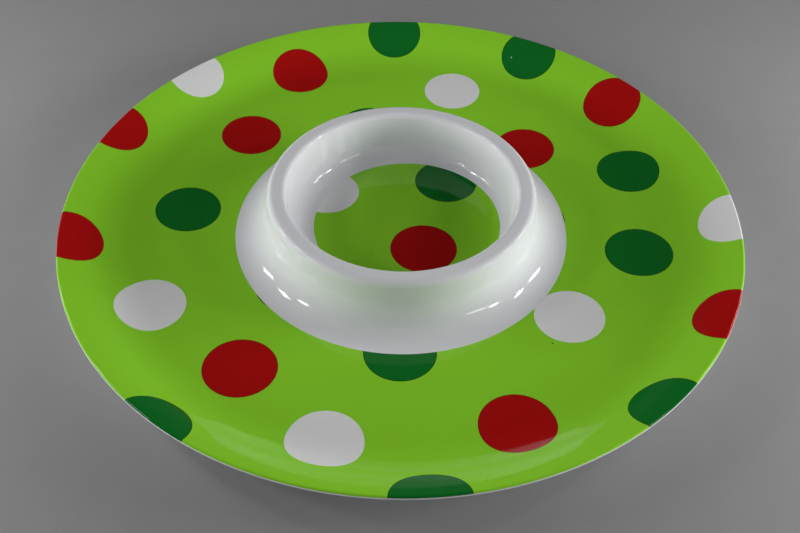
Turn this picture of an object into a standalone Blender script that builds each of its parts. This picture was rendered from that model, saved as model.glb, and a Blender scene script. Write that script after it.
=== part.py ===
"""Round chip and dip server in decorated melamine.

One white moulding makes the plate's floor, its upturned rim, the dip ring and the foot ring
underneath. Two printed decor films are let into it: an annulus on the floor, and a disc in
the bottom of the dip well. The plate stands on Z = 0 with its axis on Z.
"""

import math

import bmesh
import bpy

MM = 0.001

# Outline of the plate, in metres
RIM_RADIUS = 165 * MM
WALL = 3 * MM
FLOOR_Z = 5 * MM                       # top of the floor where it meets the dip ring
FLOOR_SLOPE = math.radians(3.8)        # the floor climbs gently towards the rim
RISE_START = 131.5 * MM                # radius where the floor turns up
RISE_RADIUS = 34 * MM
RISE_SLOPE = math.radians(37.5)        # steepest part, between the rise and the flare
FLARE_SLOPE = math.radians(23)         # slope at the edge, where the rim flares out again
EDGE_ROUND = 1 * MM                    # the edge is a full round, so the rim is twice this thick

# Dip ring
RING_FOOT = 83.7 * MM                  # the outer wall runs out into the floor here
RING_HEIGHT = 26.7 * MM                # lip above FLOOR_Z
LIP_OUTER = 66 * MM
LIP_INNER = 56.6 * MM
LIP_OUTER_ROUND = 3.5 * MM
LIP_INNER_ROUND = 3 * MM
OUTER_DRAFT = math.radians(4)          # lean of the outer wall below the lip
WELL_FLOOR_Z = FLOOR_Z + 1.5 * MM
WELL_FLAT = 44.8 * MM                  # radius of the well's flat bottom
WELL_FILLET = 10.5 * MM
HOLLOW_ROUND = 1.2 * MM                # crown of the hollow under the lip
LIP_THICKNESS = 3.6 * MM

# Foot ring underneath
FOOT_RADIUS = 112 * MM
FOOT_WIDTH = 3.2 * MM
FOOT_ROUND = 0.8 * MM

# Printed films: sheets let into the moulding, a small gap clear of it
FILM = 0.3 * MM
FILM_GAP = 0.15 * MM
FLOOR_FILM_OUTER = 163.1 * MM
WELL_FILM_RADIUS = 47.3 * MM
WELL_FILM_CENTRE = (3 * MM, -0.6 * MM)  # the disc was laid slightly off the axis

TURN_STEPS = 56
ARC_STEP = math.radians(14)            # largest turn between two points of an outline
FLARE_STEPS = 3


# ---------------------------------------------------------------- outlines, in (radius, height)

def arc(centre, radius, start, end):
    """Points from angle start to angle end, both included, in radians from +r towards +z."""
    count = max(2, math.ceil(abs(end - start) / ARC_STEP))
    angles = [start + (end - start) * i / count for i in range(count + 1)]
    return [(centre[0] + radius * math.cos(a), centre[1] + radius * math.sin(a)) for a in angles]


def well_bend():
    """Centre of the well's fillet and the wall's angle, so that the wall meets the lip edge."""
    centre = (WELL_FLAT, WELL_FLOOR_Z + WELL_FILLET)
    edge = (LIP_INNER + LIP_INNER_ROUND, FLOOR_Z + RING_HEIGHT - LIP_INNER_ROUND)
    # The wall touches the fillet from inside the well and the lip edge from outside it
    gap_r, gap_z = edge[0] - centre[0], edge[1] - centre[1]
    across = math.hypot(gap_r, gap_z)
    lean = math.atan2(gap_r, gap_z) - math.asin((WELL_FILLET + LIP_INNER_ROUND) / across)
    return centre, edge, lean


def trumpet_arc():
    """Centre and radius of the sweep that carries the ring's outer wall into the floor."""
    # The wall leans out by OUTER_DRAFT from the lip, and the sweep ends on the floor's slope
    turn = math.pi / 2 - OUTER_DRAFT + FLOOR_SLOPE
    foot = (RING_FOOT, FLOOR_Z)
    wall_top = (LIP_OUTER, FLOOR_Z + RING_HEIGHT - LIP_OUTER_ROUND)
    # Both tangent lengths from the corner where the wall line meets the floor line are equal
    floor_dir = (math.cos(FLOOR_SLOPE), math.sin(FLOOR_SLOPE))
    wall_dir = (math.sin(OUTER_DRAFT), -math.cos(OUTER_DRAFT))
    cross = wall_dir[0] * floor_dir[1] - wall_dir[1] * floor_dir[0]
    delta = (foot[0] - wall_top[0], foot[1] - wall_top[1])
    along_wall = (delta[0] * floor_dir[1] - delta[1] * floor_dir[0]) / cross
    corner = (wall_top[0] + along_wall * wall_dir[0], wall_top[1] + along_wall * wall_dir[1])
    tangent = math.dist(corner, foot)
    radius = tangent / math.tan(turn / 2)
    centre = (foot[0] - radius * math.sin(FLOOR_SLOPE), foot[1] + radius * math.cos(FLOOR_SLOPE))
    return centre, radius


def rim_arcs():
    """Centres of the arc that turns the floor up and of the arc that flares the rim out."""
    start_z = FLOOR_Z + (RISE_START - RING_FOOT) * math.tan(FLOOR_SLOPE)
    rise_centre = (
        RISE_START - RISE_RADIUS * math.sin(FLOOR_SLOPE),
        start_z + RISE_RADIUS * math.cos(FLOOR_SLOPE),
    )
    crest_r = rise_centre[0] + RISE_RADIUS * math.sin(RISE_SLOPE)
    crest_z = rise_centre[1] - RISE_RADIUS * math.cos(RISE_SLOPE)
    edge_r = RIM_RADIUS - EDGE_ROUND * (1 + math.sin(FLARE_SLOPE))
    flare_radius = (edge_r - crest_r) / (math.sin(RISE_SLOPE) - math.sin(FLARE_SLOPE))
    flare_centre = (
        crest_r + flare_radius * math.sin(RISE_SLOPE),
        crest_z - flare_radius * math.cos(RISE_SLOPE),
    )
    return rise_centre, flare_centre, flare_radius, edge_r


def floor_line(inner, outer, depth, outer_depth):
    """The floor and rim between two radii, below the printed surface by depth, which
    changes to outer_depth along the flare."""
    rise_centre, flare_centre, flare_radius, _ = rim_arcs()
    rise = arc(
        rise_centre, RISE_RADIUS + depth, FLOOR_SLOPE - math.pi / 2, RISE_SLOPE - math.pi / 2
    )
    start = (inner, rise[0][1] - (rise[0][0] - inner) * math.tan(FLOOR_SLOPE))
    last_slope = math.asin((flare_centre[0] - outer) / flare_radius)
    flare = []
    for i in range(1, FLARE_STEPS + 1):
        share = i / FLARE_STEPS
        slope = RISE_SLOPE + (last_slope - RISE_SLOPE) * share
        reach = flare_radius - depth - (outer_depth - depth) * share
        flare.append((
            flare_centre[0] - reach * math.sin(slope),
            flare_centre[1] + reach * math.cos(slope),
        ))
    return [start] + rise + flare


def well_line(depth):
    """The well's bottom and wall up to the lip edge, a depth below its surface."""
    centre, _, lean = well_bend()
    radius = WELL_FILLET + depth
    return [(0.0, WELL_FLOOR_Z - depth)] + arc(centre, radius, -math.pi / 2, -lean)


def ring_top():
    """The dip ring from the top of the well's wall over the lip to its foot."""
    _, edge, lean = well_bend()
    lip_z = FLOOR_Z + RING_HEIGHT
    outer_centre = (LIP_OUTER - LIP_OUTER_ROUND, lip_z - LIP_OUTER_ROUND)
    sweep_centre, sweep_radius = trumpet_arc()
    inner_edge = arc(edge, LIP_INNER_ROUND, math.pi - lean, math.pi / 2)
    outer_edge = arc(outer_centre, LIP_OUTER_ROUND, math.pi / 2, OUTER_DRAFT)
    sweep = arc(sweep_centre, sweep_radius, math.pi + OUTER_DRAFT, 1.5 * math.pi + FLOOR_SLOPE)
    return inner_edge + outer_edge + sweep


def ring_hollow():
    """The hollow under the dip ring, from its outer foot up over the crown to the well."""
    sweep_centre, sweep_radius = trumpet_arc()
    _, _, lean = well_bend()
    crown_z = FLOOR_Z + RING_HEIGHT - LIP_THICKNESS - HOLLOW_ROUND
    crown_r = LIP_OUTER - WALL - HOLLOW_ROUND
    outer = arc(
        sweep_centre, sweep_radius + WALL, 1.5 * math.pi + FLOOR_SLOPE, math.pi + OUTER_DRAFT
    )
    crown = arc((crown_r, crown_z), HOLLOW_ROUND, OUTER_DRAFT, math.pi - lean)
    inner = list(reversed(well_line(WALL)))
    return outer + crown + inner


def rim_edge():
    """Full round of the rim's edge, from its top round the outside to the underside."""
    _, flare_centre, flare_radius, _ = rim_arcs()
    reach = flare_radius - EDGE_ROUND
    centre = (
        flare_centre[0] - reach * math.sin(FLARE_SLOPE),
        flare_centre[1] + reach * math.cos(FLARE_SLOPE),
    )
    quarter = math.pi / 2
    outside = arc(centre, EDGE_ROUND, quarter + FLARE_SLOPE, 0)
    return outside + arc(centre, EDGE_ROUND, 0, FLARE_SLOPE - quarter)


def foot_line():
    """The foot ring's outline, from its outer side to its inner side."""
    under_z = FLOOR_Z - WALL / math.cos(FLOOR_SLOPE)
    corners = []
    for side in (1, -1):
        radius = FOOT_RADIUS + side * FOOT_WIDTH / 2
        corners.append((radius, under_z + (radius - RING_FOOT) * math.tan(FLOOR_SLOPE)))
    right = (FOOT_RADIUS + FOOT_WIDTH / 2 - FOOT_ROUND, FOOT_ROUND)
    left = (FOOT_RADIUS - FOOT_WIDTH / 2 + FOOT_ROUND, FOOT_ROUND)
    return (
        [corners[0]]
        + arc(right, FOOT_ROUND, 0, -math.pi / 2)
        + arc(left, FOOT_ROUND, -math.pi / 2, -math.pi)
        + [corners[1]]
    )


def body_outline():
    """Whole section of the moulding, from the axis over the top and back underneath."""
    recess = FILM + FILM_GAP
    seat = floor_line(RING_FOOT, FLOOR_FILM_OUTER + FILM_GAP, recess, recess)
    edge_r = rim_arcs()[3]
    underside = list(reversed(floor_line(RING_FOOT, edge_r, WALL, 2 * EDGE_ROUND)))
    return (
        well_line(0)
        + ring_top()
        + seat
        + rim_edge()
        + underside[1:-1]
        + foot_line()
        + ring_hollow()
    )


def floor_film_outline():
    """Section of the film on the floor: its top, then its underside back to the ring."""
    inner = RING_FOOT + FILM_GAP
    top = floor_line(inner, FLOOR_FILM_OUTER, 0, 0)
    bottom = floor_line(inner, FLOOR_FILM_OUTER, FILM, FILM)
    return top + list(reversed(bottom))


# ---------------------------------------------------------------- meshes

def material(name, colour, roughness):
    """A Principled material in one plain colour."""
    made = bpy.data.materials.new(name)
    made.use_nodes = True
    shader = made.node_tree.nodes["Principled BSDF"]
    shader.inputs["Base Color"].default_value = (*colour, 1)
    shader.inputs["Roughness"].default_value = roughness
    shader.inputs["Metallic"].default_value = 0
    return made


def smooth(mesh):
    mesh.shade_smooth()
    mesh.set_sharp_from_angle(angle=math.radians(35))


def without_doubles(points):
    """The points with any that repeat the one before left out."""
    kept = []
    for point in points:
        if not kept or math.dist(point, kept[-1]) > 0.02 * MM:
            kept.append(point)
    return kept


def turned(name, outline, closed, skin, collection):
    """Object made by turning an outline about Z with a Screw modifier."""
    points = without_doubles(outline)
    edges = [(i, i + 1) for i in range(len(points) - 1)]
    if closed:
        edges.append((len(points) - 1, 0))
    mesh = bpy.data.meshes.new(name)
    mesh.from_pydata([(r, 0, z) for r, z in points], edges, [])
    mesh.materials.append(skin)
    made = bpy.data.objects.new(name, mesh)
    collection.objects.link(made)
    screw = made.modifiers.new("turn", "SCREW")
    screw.steps = screw.render_steps = TURN_STEPS
    screw.use_merge_vertices = True
    screw.merge_threshold = 0.00001
    screw.use_smooth_shade = True
    return made


def well_height(radius, depth):
    """Point of the well's surface at a distance along it from the axis, a depth below it."""
    centre, _, lean = well_bend()
    if radius <= WELL_FLAT:
        return radius, WELL_FLOOR_Z - depth
    turn = min((radius - WELL_FLAT) / WELL_FILLET, math.pi / 2 - lean)
    reach = WELL_FILLET + depth
    return centre[0] + reach * math.sin(turn), centre[1] - reach * math.cos(turn)


def well_sheet(name, radius, top_depth, bottom_depth, collection):
    """A round sheet laid off the axis in the well, bent up where it reaches the fillet."""
    rings = [0.45, 0.78, 0.86, 0.93, 1.0]
    mesh = bpy.data.meshes.new(name)
    bm = bmesh.new()

    def vertex(share, angle, depth):
        x = WELL_FILM_CENTRE[0] + share * radius * math.cos(angle)
        y = WELL_FILM_CENTRE[1] + share * radius * math.sin(angle)
        along = math.hypot(x, y)
        r, z = well_height(along, depth)
        return bm.verts.new((x * r / along, y * r / along, z))

    sides = []
    for depth in (top_depth, bottom_depth):
        middle = vertex(0, 0, depth)
        loops = [
            [vertex(share, math.tau * i / TURN_STEPS, depth) for i in range(TURN_STEPS)]
            for share in rings
        ]
        sides.append((middle, loops))
    for flip, (middle, loops) in enumerate(sides):
        for i in range(TURN_STEPS):
            j = (i + 1) % TURN_STEPS
            faces = [(middle, loops[0][i], loops[0][j])]
            faces += [(a[i], b[i], b[j], a[j]) for a, b in zip(loops, loops[1:])]
            for face in faces:
                bm.faces.new(face[::-1] if flip else face)
    top_edge, bottom_edge = sides[0][1][-1], sides[1][1][-1]
    for i in range(TURN_STEPS):
        j = (i + 1) % TURN_STEPS
        bm.faces.new((top_edge[j], top_edge[i], bottom_edge[i], bottom_edge[j]))
    bm.to_mesh(mesh)
    bm.free()
    made = bpy.data.objects.new(name, mesh)
    collection.objects.link(made)
    return made


# ---------------------------------------------------------------- the server

def build():
    for old in list(bpy.data.objects):
        bpy.data.objects.remove(old, do_unlink=True)
    server = bpy.data.collections.new("chip_and_dip_server")
    cutters = bpy.data.collections.new("cutters")
    for collection in (server, cutters):
        bpy.context.scene.collection.children.link(collection)

    white = material("white_melamine", (0.72, 0.72, 0.73), 0.16)
    print_green = material("printed_film", (0.18, 0.47, 0.02), 0.12)

    body = turned("melamine_body", body_outline(), False, white, server)
    turned("floor_print", floor_film_outline(), True, print_green, server)

    well_print = well_sheet("well_print", WELL_FILM_RADIUS, 0, FILM, server)
    well_print.data.materials.append(print_green)
    smooth(well_print.data)

    seat = well_sheet("well_print_seat", WELL_FILM_RADIUS + FILM_GAP, -1 * MM,
                      FILM + FILM_GAP, cutters)
    seat.hide_render = True
    seat.display_type = "WIRE"
    cut = body.modifiers.new("well_print_seat", "BOOLEAN")
    cut.operation = "DIFFERENCE"
    cut.solver = "EXACT"
    cut.object = seat


build()
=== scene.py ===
"""Looks of the chip and dip server: a fine white moulding, two printed films let into it, a
polka-dot print that lies on the films as flat sheets, and a plain studio around them."""

import math

import bpy
import numpy as np
from mathutils import Matrix, Vector


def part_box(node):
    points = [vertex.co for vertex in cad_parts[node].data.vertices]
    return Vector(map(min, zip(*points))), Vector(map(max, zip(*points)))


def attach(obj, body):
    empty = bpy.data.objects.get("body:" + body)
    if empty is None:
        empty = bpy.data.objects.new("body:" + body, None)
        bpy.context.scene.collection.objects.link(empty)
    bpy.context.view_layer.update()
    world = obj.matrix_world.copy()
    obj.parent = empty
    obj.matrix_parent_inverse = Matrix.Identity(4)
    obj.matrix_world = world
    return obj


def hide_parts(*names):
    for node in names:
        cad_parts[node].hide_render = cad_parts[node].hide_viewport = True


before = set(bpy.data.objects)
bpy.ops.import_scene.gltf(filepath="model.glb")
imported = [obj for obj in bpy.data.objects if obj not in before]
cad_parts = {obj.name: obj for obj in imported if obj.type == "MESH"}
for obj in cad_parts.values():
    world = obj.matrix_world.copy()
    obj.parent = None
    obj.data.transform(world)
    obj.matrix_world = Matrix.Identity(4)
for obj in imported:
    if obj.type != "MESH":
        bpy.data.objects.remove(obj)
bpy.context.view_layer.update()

MM = 0.001
BODY_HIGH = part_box("melamine_body")[1]

# Outline of the plate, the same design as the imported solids, in metres
RIM_RADIUS = BODY_HIGH.x
LIP_Z = BODY_HIGH.z
WALL = 3 * MM
FLOOR_Z = 5 * MM                       # top of the floor where it meets the dip ring
FLOOR_SLOPE = math.radians(3.8)
RISE_START = 131.5 * MM
RISE_RADIUS = 34 * MM
RISE_SLOPE = math.radians(37.5)
FLARE_SLOPE = math.radians(23)
EDGE_ROUND = 1 * MM

# Dip ring
RING_FOOT = 83.7 * MM
LIP_OUTER = 66 * MM
LIP_INNER = 56.6 * MM
LIP_OUTER_ROUND = 3.5 * MM
LIP_INNER_ROUND = 3 * MM
OUTER_DRAFT = math.radians(4)
WELL_FLOOR_Z = FLOOR_Z + 1.5 * MM
WELL_FLAT = 44.8 * MM
WELL_FILLET = 10.5 * MM
HOLLOW_ROUND = 1.2 * MM
LIP_THICKNESS = 3.6 * MM

# Foot ring underneath
FOOT_RADIUS = 112 * MM
FOOT_WIDTH = 3.2 * MM
FOOT_ROUND = 0.8 * MM

# Printed films, flush with the moulding
FILM = 0.3 * MM
FILM_GAP = 0.02 * MM
FILM_END = math.radians(32)            # the floor film runs over the rim's round to here
WELL_FILM_RADIUS = 47.3 * MM
WELL_FILM_CENTRE = (3 * MM, -0.6 * MM)

AROUND = 256                           # points on every loop
ARC_STEP = math.radians(3)
RUN_STEP = 3 * MM                      # longest straight run between two loops
SAME_POINT = 0.001 * MM                # points closer than this are one
SHARP_EDGE = math.radians(40)
BLEND_LOOPS = 12                       # loops from the well film's edge to the fillet's round top
DISC_FLAT_SHARE = 0.78                 # share of the well film's radius with few loops
DISC_FLAT_LOOPS = 9
DISC_BEND_LOOPS = 12

# The print, in millimetres on the flat films, centred on the plate's axis
DOT_RADIUS = 16.45
RED_DOTS = [
    (-160.5, -29.5), (-157, 56), (-62.5, 126), (121, 94.5), (148.5, -73), (-85, 69.5),
    (-69, -94.5), (49.5, -122.5), (68, 63),
]
DARK_DOTS = [
    (-6.5, 160), (76.5, 139), (111.5, -122), (13, -169), (-99, -137), (-109.5, 7),
    (117.5, -19), (122, 42), (0.5, -83), (-19.5, 81), (67.5, 6), (-52.5, -43),
]
WHITE_DOTS = [
    (-123, 109.5), (165, -9), (-115, -60), (-29.5, -132.5), (29, 114.5), (78.5, -60.5),
]
WELL_RED_DOTS = [(11.3, -18.3)]
WELL_DARK_DOTS = [(23.5, 32.7)]
WELL_WHITE_DOTS = [(-38.8, 22.5)]
DARK_SPECKS = [(69, -77)]              # two small flaws in the print
WHITE_SPECKS = [(66, 139)]
SPECK_RADIUS = 0.4
INK_EDGE = 0.12                        # width over which an ink's edge fades
OVERPRINT = 0.35                       # dot inks overlap the ground by this, and are darker there
OVERPRINT_TONE = 0.5
WHITE_SHRINK = 0.2                     # the ground's overlap makes white dots smaller by this

# Colours and gloss
GROUND_INK = (0.291, 0.715, 0.031)
RED_INK = (0.455, 0.006, 0.006)
DARK_INK = (0.006, 0.165, 0.020)
WHITE_INK = (0.85, 0.85, 0.855)
MELAMINE = (0.80, 0.807, 0.84)
MELAMINE_IOR = 1.48
FILM_IOR = 1.34
NOISE_RANGE = (0.3, 0.7)               # a noise texture's values lie mostly in here
MOTTLE_SCALE = 900                     # texture scales are per metre
MOTTLE_TONE = (0.975, 1.0)
CLOUD_SCALE = 14
CLOUD_TONE = (-0.012, 0.012)
HAZE_SCALE = 45
ROUGHNESS = (0.045, 0.075)
WAVE_SCALE = 130
GRAIN_SCALE = 900
GRAIN_SHARE = 0.06
WAVE_HEIGHT = 0.05 * MM
WAVE_STRENGTH = 0.5

# Studio floor
PAPER_HALF = 1.6
PAPER_GRAIN = 60
PAPER_TONE = (0.34, 0.35)
PAPER_ROUGHNESS = 0.6

# Lights that face the plate's centre: azimuth from +Y towards +X and elevation in degrees,
# distance, width and height in metres, radiance
LAMPS = [
    (-80, 27.5, 0.45, 0.07, 0.04, 18), (-91, 39, 0.51, 0.05, 0.055, 22),
    (-110, 34.5, 0.5, 0.06, 0.04, 22), (78, 26, 0.45, 0.085, 0.04, 16),
    (91, 33, 0.48, 0.045, 0.055, 22), (114, 29, 0.47, 0.055, 0.04, 18),
    (128, 27, 0.47, 0.1, 0.03, 9),
]
FILLS = [
    (-90, 12, 1, 0.5, 0.3, 8.6), (90, 12, 1, 0.5, 0.3, 14), (-60, 12, 1, 0.4, 0.3, 3.4),
    (-120, 12, 1, 0.4, 0.3, 3.8), (-30, 12, 1, 0.3, 0.3, 2.2), (30, 12, 1, 0.3, 0.3, 2),
    (150, 12, 1, 0.4, 0.3, 2.6),
]
ROOM = 0.02                            # radiance of the room
HORIZON = 0.06                         # what the horizon adds to it
HORIZON_FADE = (0.3, 0.15)             # sine of the elevation where it starts and is full

# Camera, about a point on the floor in front of the ring
CAMERA_TARGET = Vector((-0.2, -29.6, 5)) * MM
CAMERA_ELEVATION = math.radians(46.14)
CAMERA_DISTANCE = 433.7 * MM
CAMERA_ROLL = math.radians(1.03)
CAMERA_LENS = 40.09


# ---------------------------------------------------------------- outlines, in (radius, height)

def arc(centre, radius, start, end):
    """Points from angle start to angle end, both included, in radians from +r towards +z."""
    count = max(2, math.ceil(abs(end - start) / ARC_STEP - 1e-6))
    angles = [start + (end - start) * i / count for i in range(count + 1)]
    return [(centre[0] + radius * math.cos(a), centre[1] + radius * math.sin(a)) for a in angles]


def well_bend():
    """Centre of the well's fillet and the wall's angle, so that the wall meets the lip edge."""
    centre = (WELL_FLAT, WELL_FLOOR_Z + WELL_FILLET)
    edge = (LIP_INNER + LIP_INNER_ROUND, LIP_Z - LIP_INNER_ROUND)
    gap_r, gap_z = edge[0] - centre[0], edge[1] - centre[1]
    across = math.hypot(gap_r, gap_z)
    lean = math.atan2(gap_r, gap_z) - math.asin((WELL_FILLET + LIP_INNER_ROUND) / across)
    return centre, edge, lean


def trumpet_arc():
    """Centre and radius of the sweep that carries the ring's outer wall into the floor."""
    turn = math.pi / 2 - OUTER_DRAFT + FLOOR_SLOPE
    foot = (RING_FOOT, FLOOR_Z)
    wall_top = (LIP_OUTER, LIP_Z - LIP_OUTER_ROUND)
    floor_dir = (math.cos(FLOOR_SLOPE), math.sin(FLOOR_SLOPE))
    wall_dir = (math.sin(OUTER_DRAFT), -math.cos(OUTER_DRAFT))
    cross = wall_dir[0] * floor_dir[1] - wall_dir[1] * floor_dir[0]
    delta = (foot[0] - wall_top[0], foot[1] - wall_top[1])
    along_wall = (delta[0] * floor_dir[1] - delta[1] * floor_dir[0]) / cross
    corner = (wall_top[0] + along_wall * wall_dir[0], wall_top[1] + along_wall * wall_dir[1])
    radius = math.dist(corner, foot) / math.tan(turn / 2)
    centre = (foot[0] - radius * math.sin(FLOOR_SLOPE), foot[1] + radius * math.cos(FLOOR_SLOPE))
    return centre, radius


def rim_arcs():
    """Centres and radii of the arc that turns the floor up, the one that flares the rim out
    and the full round of the edge."""
    start_z = FLOOR_Z + (RISE_START - RING_FOOT) * math.tan(FLOOR_SLOPE)
    rise_centre = (
        RISE_START - RISE_RADIUS * math.sin(FLOOR_SLOPE),
        start_z + RISE_RADIUS * math.cos(FLOOR_SLOPE),
    )
    crest_r = rise_centre[0] + RISE_RADIUS * math.sin(RISE_SLOPE)
    crest_z = rise_centre[1] - RISE_RADIUS * math.cos(RISE_SLOPE)
    edge_r = RIM_RADIUS - EDGE_ROUND * (1 + math.sin(FLARE_SLOPE))
    flare_radius = (edge_r - crest_r) / (math.sin(RISE_SLOPE) - math.sin(FLARE_SLOPE))
    flare_centre = (
        crest_r + flare_radius * math.sin(RISE_SLOPE),
        crest_z - flare_radius * math.cos(RISE_SLOPE),
    )
    edge_reach = flare_radius - EDGE_ROUND
    edge_centre = (
        flare_centre[0] - edge_reach * math.sin(FLARE_SLOPE),
        flare_centre[1] + edge_reach * math.cos(FLARE_SLOPE),
    )
    return rise_centre, flare_centre, flare_radius, edge_centre


def floor_rise(inner, depth):
    """The floor from a radius outwards and the rise, a depth below the printed surface."""
    rise = arc(
        rim_arcs()[0], RISE_RADIUS + depth, FLOOR_SLOPE - math.pi / 2, RISE_SLOPE - math.pi / 2
    )
    start = (inner, rise[0][1] - (rise[0][0] - inner) * math.tan(FLOOR_SLOPE))
    return [start] + rise


def film_line(inner, depth):
    """The floor film's surface from the dip ring out and over the rim's edge, at a depth."""
    _, flare_centre, flare_radius, edge_centre = rim_arcs()
    quarter = math.pi / 2
    flare = arc(flare_centre, flare_radius - depth, quarter + RISE_SLOPE, quarter + FLARE_SLOPE)
    edge = arc(edge_centre, EDGE_ROUND - depth, quarter + FLARE_SLOPE, FILM_END)
    return floor_rise(inner, depth) + flare[1:] + edge[1:]


def underside_line():
    """The floor's underside from the rim's edge back to the dip ring."""
    _, flare_centre, flare_radius, _ = rim_arcs()
    rise = floor_rise(RING_FOOT, WALL)
    flare = []
    steps = math.ceil((RISE_SLOPE - FLARE_SLOPE) / ARC_STEP)
    for i in range(1, steps):
        share = i / steps
        slope = RISE_SLOPE + (FLARE_SLOPE - RISE_SLOPE) * share
        reach = flare_radius - WALL - (2 * EDGE_ROUND - WALL) * share
        flare.append((
            flare_centre[0] - reach * math.sin(slope),
            flare_centre[1] + reach * math.cos(slope),
        ))
    return list(reversed(rise[1:] + flare))


def well_line(depth):
    """The well's bottom and wall up to the lip edge, a depth below its surface."""
    centre, _, lean = well_bend()
    return [(0.0, WELL_FLOOR_Z - depth)] + arc(centre, WELL_FILLET + depth, -math.pi / 2, -lean)


def ring_top():
    """The dip ring from the top of the well's wall over the lip to its foot."""
    _, edge, lean = well_bend()
    outer_centre = (LIP_OUTER - LIP_OUTER_ROUND, LIP_Z - LIP_OUTER_ROUND)
    sweep_centre, sweep_radius = trumpet_arc()
    inner_edge = arc(edge, LIP_INNER_ROUND, math.pi - lean, math.pi / 2)
    outer_edge = arc(outer_centre, LIP_OUTER_ROUND, math.pi / 2, OUTER_DRAFT)
    sweep = arc(sweep_centre, sweep_radius, math.pi + OUTER_DRAFT, 1.5 * math.pi + FLOOR_SLOPE)
    return inner_edge + outer_edge + sweep


def ring_hollow():
    """The hollow under the dip ring, from its outer foot up over the crown to the well."""
    sweep_centre, sweep_radius = trumpet_arc()
    _, _, lean = well_bend()
    crown_z = LIP_Z - LIP_THICKNESS - HOLLOW_ROUND
    crown_r = LIP_OUTER - WALL - HOLLOW_ROUND
    outer = arc(
        sweep_centre, sweep_radius + WALL, 1.5 * math.pi + FLOOR_SLOPE, math.pi + OUTER_DRAFT
    )
    crown = arc((crown_r, crown_z), HOLLOW_ROUND, OUTER_DRAFT, math.pi - lean)
    return outer + crown + list(reversed(well_line(WALL)))


def foot_line():
    """The foot ring's outline, from its outer side to its inner side."""
    under_z = FLOOR_Z - WALL / math.cos(FLOOR_SLOPE)
    corners = []
    for side in (1, -1):
        radius = FOOT_RADIUS + side * FOOT_WIDTH / 2
        corners.append((radius, under_z + (radius - RING_FOOT) * math.tan(FLOOR_SLOPE)))
    right = (FOOT_RADIUS + FOOT_WIDTH / 2 - FOOT_ROUND, FOOT_ROUND)
    left = (FOOT_RADIUS - FOOT_WIDTH / 2 + FOOT_ROUND, FOOT_ROUND)
    return (
        [corners[0]]
        + arc(right, FOOT_ROUND, 0, -math.pi / 2)
        + arc(left, FOOT_ROUND, -math.pi / 2, -math.pi)
        + [corners[1]]
    )


def in_steps(points):
    """The points without repeats, and with long straight runs cut into short ones."""
    kept = [points[0]]
    for point in points[1:]:
        length = math.dist(kept[-1], point)
        if length < SAME_POINT:
            continue
        start = kept[-1]
        count = math.ceil(length / RUN_STEP)
        for i in range(1, count + 1):
            share = i / count
            kept.append((
                start[0] + (point[0] - start[0]) * share,
                start[1] + (point[1] - start[1]) * share,
            ))
    return kept


# ---------------------------------------------------------------- loops and meshes

ANGLES = np.arange(AROUND) * math.tau / AROUND
CIRCLE = np.stack([np.cos(ANGLES), np.sin(ANGLES)], axis=1)


def turned(points):
    """One loop about the axis for every point of an outline."""
    return [np.column_stack([CIRCLE * r, np.full(AROUND, z)]) for r, z in points]


def in_well(flat, depth):
    """Points of a flat sheet, bent with the well's bottom and fillet, a depth below it."""
    centre, _, lean = well_bend()
    along = np.maximum(np.hypot(flat[:, 0], flat[:, 1]), 1e-9)
    turn = np.clip((along - WELL_FLAT) / WELL_FILLET, 0, math.pi / 2 - lean)
    reach = WELL_FILLET + depth
    bent = turn > 0
    radius = np.where(bent, centre[0] + reach * np.sin(turn), along)
    height = np.where(bent, centre[1] - reach * np.cos(turn), WELL_FLOOR_Z - depth)
    return np.column_stack([flat * (radius / along)[:, None], height])


def disc_loop(radius):
    """A flat loop about the well film's centre."""
    return CIRCLE * radius + np.array(WELL_FILM_CENTRE)


def disc_shares():
    """Radii of the loops on the well film, closer together where it bends."""
    flat = np.linspace(0, DISC_FLAT_SHARE, DISC_FLAT_LOOPS + 1)[1:]
    return np.concatenate([flat, np.linspace(DISC_FLAT_SHARE, 1, DISC_BEND_LOOPS + 1)[1:]])


def loft(name, loops, middle_start=False, middle_end=False, closed=False):
    """A mesh object through loops, whose ends are closed by a point, or joined to each other."""
    mesh = bpy.data.meshes.new(name)
    vertices = np.concatenate(loops)
    starts = [i * AROUND for i in range(len(loops))]
    nxt = [(i + 1) % AROUND for i in range(AROUND)]
    pairs = list(zip(starts, starts[1:]))
    if closed:
        pairs.append((starts[-1], starts[0]))
    faces = [(a + i, b + i, b + nxt[i], a + nxt[i]) for a, b in pairs for i in range(AROUND)]
    if middle_start:
        faces += [(len(vertices), i, nxt[i]) for i in range(AROUND)]
        vertices = np.vstack([vertices, loops[0].mean(axis=0)])
    if middle_end:
        faces += [(starts[-1] + nxt[i], starts[-1] + i, len(vertices)) for i in range(AROUND)]
        vertices = np.vstack([vertices, loops[-1].mean(axis=0)])
    mesh.from_pydata(vertices.tolist(), [], faces)
    mesh.shade_smooth()
    mesh.set_sharp_from_angle(angle=SHARP_EDGE)
    made = bpy.data.objects.new(name, mesh)
    bpy.context.scene.collection.objects.link(made)
    return made


def store_flat(piece, flat):
    """Keeps where each vertex lies on the flat film, in millimetres."""
    layer = piece.data.attributes.new("flat_film", "FLOAT_VECTOR", "POINT")
    rows = np.column_stack([flat / MM, np.zeros(len(flat))])
    layer.data.foreach_set("vector", rows.ravel().astype(np.float32))


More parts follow.
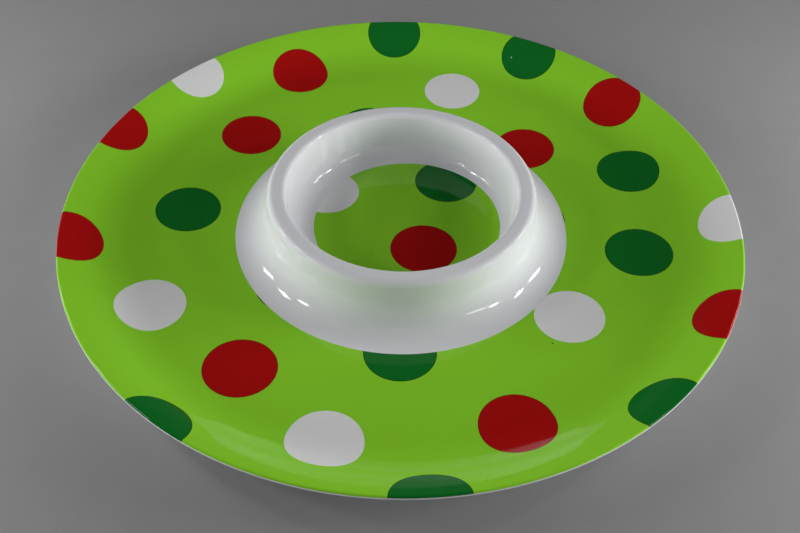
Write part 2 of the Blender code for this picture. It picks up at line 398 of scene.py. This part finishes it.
def body_piece():
    """The moulding, from the middle of the well's bottom out over the rim and back under."""
    recess = FILM + FILM_GAP
    hole = WELL_FILM_RADIUS + FILM_GAP
    loops = [in_well(disc_loop(hole * share), recess) for share in disc_shares()]
    # From the edge of the off-centre film to the fillet's round top
    _, _, lean = well_bend()
    fillet_top = WELL_FLAT + WELL_FILLET * (math.pi / 2 - lean)
    for share in np.linspace(0, 1, BLEND_LOOPS):
        flat = disc_loop(hole) * (1 - share) + CIRCLE * fillet_top * share
        loops.append(in_well(flat, 0))
    wall_top = ring_top()[0]
    fillet_end = well_line(0)[-1]
    loops += turned(in_steps([fillet_end, wall_top])[1:-1])
    edge_centre = rim_arcs()[3]
    outside = arc(edge_centre, EDGE_ROUND, FILM_END, FLARE_SLOPE - math.pi / 2)
    rest = in_steps(ring_top()) + in_steps(film_line(RING_FOOT, recess)) + outside
    rest += in_steps(underside_line() + foot_line() + ring_hollow())[:-1]
    loops += turned(rest)
    return loft("melamine_moulding", loops, middle_start=True, middle_end=True)


def floor_film_piece():
    """The annular film from the ring's foot to the rim's round."""
    top = in_steps(film_line(RING_FOOT + FILM_GAP, 0))
    steps = [math.dist(a, b) for a, b in zip(top, top[1:])]
    along = RING_FOOT + FILM_GAP + np.concatenate([[0], np.cumsum(steps)])
    normals = np.gradient(np.array(top), axis=0)
    normals = np.column_stack([normals[:, 1], -normals[:, 0]])
    normals /= np.linalg.norm(normals, axis=1)[:, None]
    bottom = [tuple(p) for p in np.array(top) + normals * FILM]
    piece = loft("floor_film", turned(top + bottom[::-1]), closed=True)
    reach = np.concatenate([along, along[::-1]])
    store_flat(piece, np.concatenate([CIRCLE * r for r in reach]))
    return piece


def well_film_piece():
    """The round film in the well, off the ring's axis."""
    flats = [disc_loop(WELL_FILM_RADIUS * share) for share in disc_shares()]
    loops = [in_well(flat, 0) for flat in flats]
    loops += [in_well(flat, FILM) for flat in reversed(flats)]
    piece = loft("well_film", loops, middle_start=True, middle_end=True)
    middle = np.array([WELL_FILM_CENTRE])
    store_flat(piece, np.concatenate(flats + flats[::-1] + [middle, middle]))
    return piece


# ---------------------------------------------------------------- materials

class Nodes:
    """A material's node tree, with short calls for the nodes used here."""

    def __init__(self, name):
        self.material = bpy.data.materials.new(name)
        self.material.use_nodes = True
        self.tree = self.material.node_tree
        self.shader = self.tree.nodes["Principled BSDF"]

    def put(self, socket, value):
        """Links a socket to another one, or sets its value."""
        if isinstance(value, bpy.types.NodeSocket):
            self.tree.links.new(value, socket)
        else:
            socket.default_value = value

    def node(self, kind, inputs, **settings):
        """A new node with its inputs linked or set."""
        made = self.tree.nodes.new(kind)
        for key, value in settings.items():
            setattr(made, key, value)
        for key, value in inputs.items():
            self.put(made.inputs[key], value)
        return made

    def math(self, operation, *values):
        return self.node("ShaderNodeMath", dict(enumerate(values)), operation=operation).outputs[0]

    def ramp(self, value, low, high, start, end):
        """Value from start at low to end at high, held past them."""
        inputs = {
            "Value": value, "From Min": low, "From Max": high, "To Min": start, "To Max": end,
        }
        return self.node("ShaderNodeMapRange", inputs).outputs[0]

    def mix(self, share, first, second, blend="MIX"):
        made = self.node("ShaderNodeMix", {}, data_type="RGBA", blend_type=blend)
        self.put(made.inputs[0], share)
        for slot, colour in ((6, first), (7, second)):
            self.put(made.inputs[slot], (*colour, 1) if isinstance(colour, tuple) else colour)
        return made.outputs[2]

    def noise(self, where, scale, detail, rough=0.5):
        inputs = {"Vector": where, "Scale": scale, "Detail": detail, "Roughness": rough}
        return self.node("ShaderNodeTexNoise", inputs).outputs[0]

    def spread_noise(self, where, scale, detail, span, rough=0.5):
        """Noise that runs over the given span."""
        return self.ramp(self.noise(where, scale, detail, rough), *NOISE_RANGE, *span)

    def grey(self, tone):
        return self.node("ShaderNodeCombineColor", {0: tone, 1: tone, 2: tone}).outputs[0]

    def place(self):
        return self.node("ShaderNodeTexCoord", {}).outputs["Object"]

    def nearest(self, where, centres):
        """Distance to the nearest of some points."""
        nearest = None
        for x, y in centres:
            made = self.node("ShaderNodeVectorMath", {0: where, 1: (x, y, 0)}, operation="DISTANCE")
            away = made.outputs["Value"]
            nearest = away if nearest is None else self.math("MINIMUM", nearest, away)
        return nearest


def gloss(nodes, colour, ior):
    """Glossy pressed melamine over a colour: slight waves, haze and mottling."""
    where = nodes.place()
    mottle = nodes.spread_noise(where, MOTTLE_SCALE, 4, MOTTLE_TONE)
    cloud = nodes.spread_noise(where, CLOUD_SCALE, 3, CLOUD_TONE)
    tone = nodes.grey(nodes.math("ADD", mottle, cloud))
    nodes.put(nodes.shader.inputs["Base Color"], nodes.mix(1.0, colour, tone, "MULTIPLY"))
    haze = nodes.spread_noise(where, HAZE_SCALE, 5, ROUGHNESS, rough=0.6)
    nodes.put(nodes.shader.inputs["Roughness"], haze)
    nodes.put(nodes.shader.inputs["IOR"], ior)
    grain = nodes.math("MULTIPLY", nodes.noise(where, GRAIN_SCALE, 2), GRAIN_SHARE)
    waves = nodes.math("ADD", nodes.noise(where, WAVE_SCALE, 1), grain)
    inputs = {"Strength": WAVE_STRENGTH, "Distance": WAVE_HEIGHT, "Height": waves}
    nodes.put(nodes.shader.inputs["Normal"], nodes.node("ShaderNodeBump", inputs).outputs[0])


def melamine_material():
    nodes = Nodes("white_melamine")
    gloss(nodes, MELAMINE, MELAMINE_IOR)
    return nodes.material


def print_material(name, inks):
    """Inks on the flat film: each ink is a colour, its dots, their radius and how much darker
    it is where it overlaps the ground."""
    nodes = Nodes(name)
    where = nodes.node("ShaderNodeAttribute", {}, attribute_name="flat_film").outputs["Vector"]
    colour = GROUND_INK
    for ink, centres, radius, darker in inks:
        away = nodes.nearest(where, centres)
        cover = nodes.ramp(away, radius - INK_EDGE / 2, radius + INK_EDGE / 2, 1.0, 0.0)
        rim = nodes.ramp(away, radius - OVERPRINT - INK_EDGE, radius - OVERPRINT, 0.0, darker)
        edge_ink = tuple(channel * OVERPRINT_TONE for channel in ink)
        inked = nodes.mix(rim, ink, edge_ink) if darker else ink
        colour = nodes.mix(cover, colour, inked)
    gloss(nodes, colour, FILM_IOR)
    return nodes.material


def floor_inks():
    return [
        (WHITE_INK, WHITE_DOTS, DOT_RADIUS - WHITE_SHRINK, 0.0),
        (RED_INK, RED_DOTS, DOT_RADIUS, 1.0),
        (DARK_INK, DARK_DOTS, DOT_RADIUS, 1.0),
        (WHITE_INK, WHITE_SPECKS, SPECK_RADIUS, 0.0),
        (DARK_INK, DARK_SPECKS, SPECK_RADIUS, 0.0),
    ]


def well_inks():
    return [
        (WHITE_INK, WELL_WHITE_DOTS, DOT_RADIUS - WHITE_SHRINK, 0.0),
        (RED_INK, WELL_RED_DOTS, DOT_RADIUS, 1.0),
        (DARK_INK, WELL_DARK_DOTS, DOT_RADIUS, 1.0),
    ]


# ---------------------------------------------------------------- studio

def studio_floor():
    """A sheet of plain pale paper."""
    half = PAPER_HALF
    mesh = bpy.data.meshes.new("studio_floor")
    corners = [(-half, -half, 0), (half, -half, 0), (half, half, 0), (-half, half, 0)]
    mesh.from_pydata(corners, [], [(0, 1, 2, 3)])
    made = bpy.data.objects.new("studio_floor", mesh)
    bpy.context.scene.collection.objects.link(made)
    nodes = Nodes("pale_paper")
    shade = nodes.grey(nodes.spread_noise(nodes.place(), PAPER_GRAIN, 3, PAPER_TONE))
    nodes.put(nodes.shader.inputs["Base Color"], shade)
    nodes.put(nodes.shader.inputs["Roughness"], PAPER_ROUGHNESS)
    mesh.materials.append(nodes.material)


def panel(name, azimuth, elevation, distance, width, height, radiance):
    """A soft light that faces the plate."""
    light = bpy.data.lights.new(name, "AREA")
    light.shape = "RECTANGLE"
    light.size = width
    light.size_y = height
    light.energy = radiance * math.pi * width * height
    made = bpy.data.objects.new(name, light)
    bpy.context.scene.collection.objects.link(made)
    a, e = math.radians(azimuth), math.radians(elevation)
    away = Vector((math.sin(a) * math.cos(e), math.cos(a) * math.cos(e), math.sin(e)))
    made.location = away * distance
    made.rotation_euler = away.to_track_quat("Z", "Y").to_euler()
    return made


def studio_lights():
    """Lamps that show in the gloss, and large low fills that don't."""
    for i, lamp in enumerate(LAMPS):
        panel(f"lamp_{i}", *lamp)
    for i, fill in enumerate(FILLS):
        panel(f"fill_{i}", *fill).visible_glossy = False


def studio_world():
    """A dim room that is paler towards the horizon."""
    world = bpy.data.worlds.new("room")
    bpy.context.scene.world = world
    world.use_nodes = True
    tree = world.node_tree
    place = tree.nodes.new("ShaderNodeTexCoord")
    split = tree.nodes.new("ShaderNodeSeparateXYZ")
    tree.links.new(place.outputs["Generated"], split.inputs[0])
    low = tree.nodes.new("ShaderNodeMapRange")
    low.inputs["From Min"].default_value = HORIZON_FADE[0]
    low.inputs["From Max"].default_value = HORIZON_FADE[1]
    low.inputs["To Min"].default_value = ROOM
    low.inputs["To Max"].default_value = ROOM + HORIZON
    tree.links.new(split.outputs["Z"], low.inputs["Value"])
    tree.links.new(low.outputs[0], tree.nodes["Background"].inputs["Strength"])
    tree.nodes["Background"].inputs["Color"].default_value = (1, 1, 1, 1)


def camera():
    """The camera, and plain colours without a film look."""
    bpy.context.scene.view_settings.view_transform = "Standard"
    data = bpy.data.cameras.new("camera")
    data.lens = CAMERA_LENS
    made = bpy.data.objects.new("camera", data)
    bpy.context.scene.collection.objects.link(made)
    back = Vector((0, -math.cos(CAMERA_ELEVATION), math.sin(CAMERA_ELEVATION)))
    turn = back.to_track_quat("Z", "Y") @ Matrix.Rotation(CAMERA_ROLL, 3, "Z").to_quaternion()
    made.rotation_mode = "QUATERNION"
    made.rotation_quaternion = turn
    made.location = CAMERA_TARGET + back * CAMERA_DISTANCE
    bpy.context.scene.camera = made


# ---------------------------------------------------------------- the server

def finish_piece(piece, material, node):
    """Gives a piece its material and states what it stands for in the frame."""
    piece.data.materials.append(material)
    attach(piece, "root")
    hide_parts(node)


camera()
studio_floor()
studio_lights()
studio_world()
finish_piece(body_piece(), melamine_material(), "melamine_body")
finish_piece(floor_film_piece(), print_material("floor_print", floor_inks()),
             "floor_print")
finish_piece(well_film_piece(), print_material("well_print", well_inks()),
             "well_print")
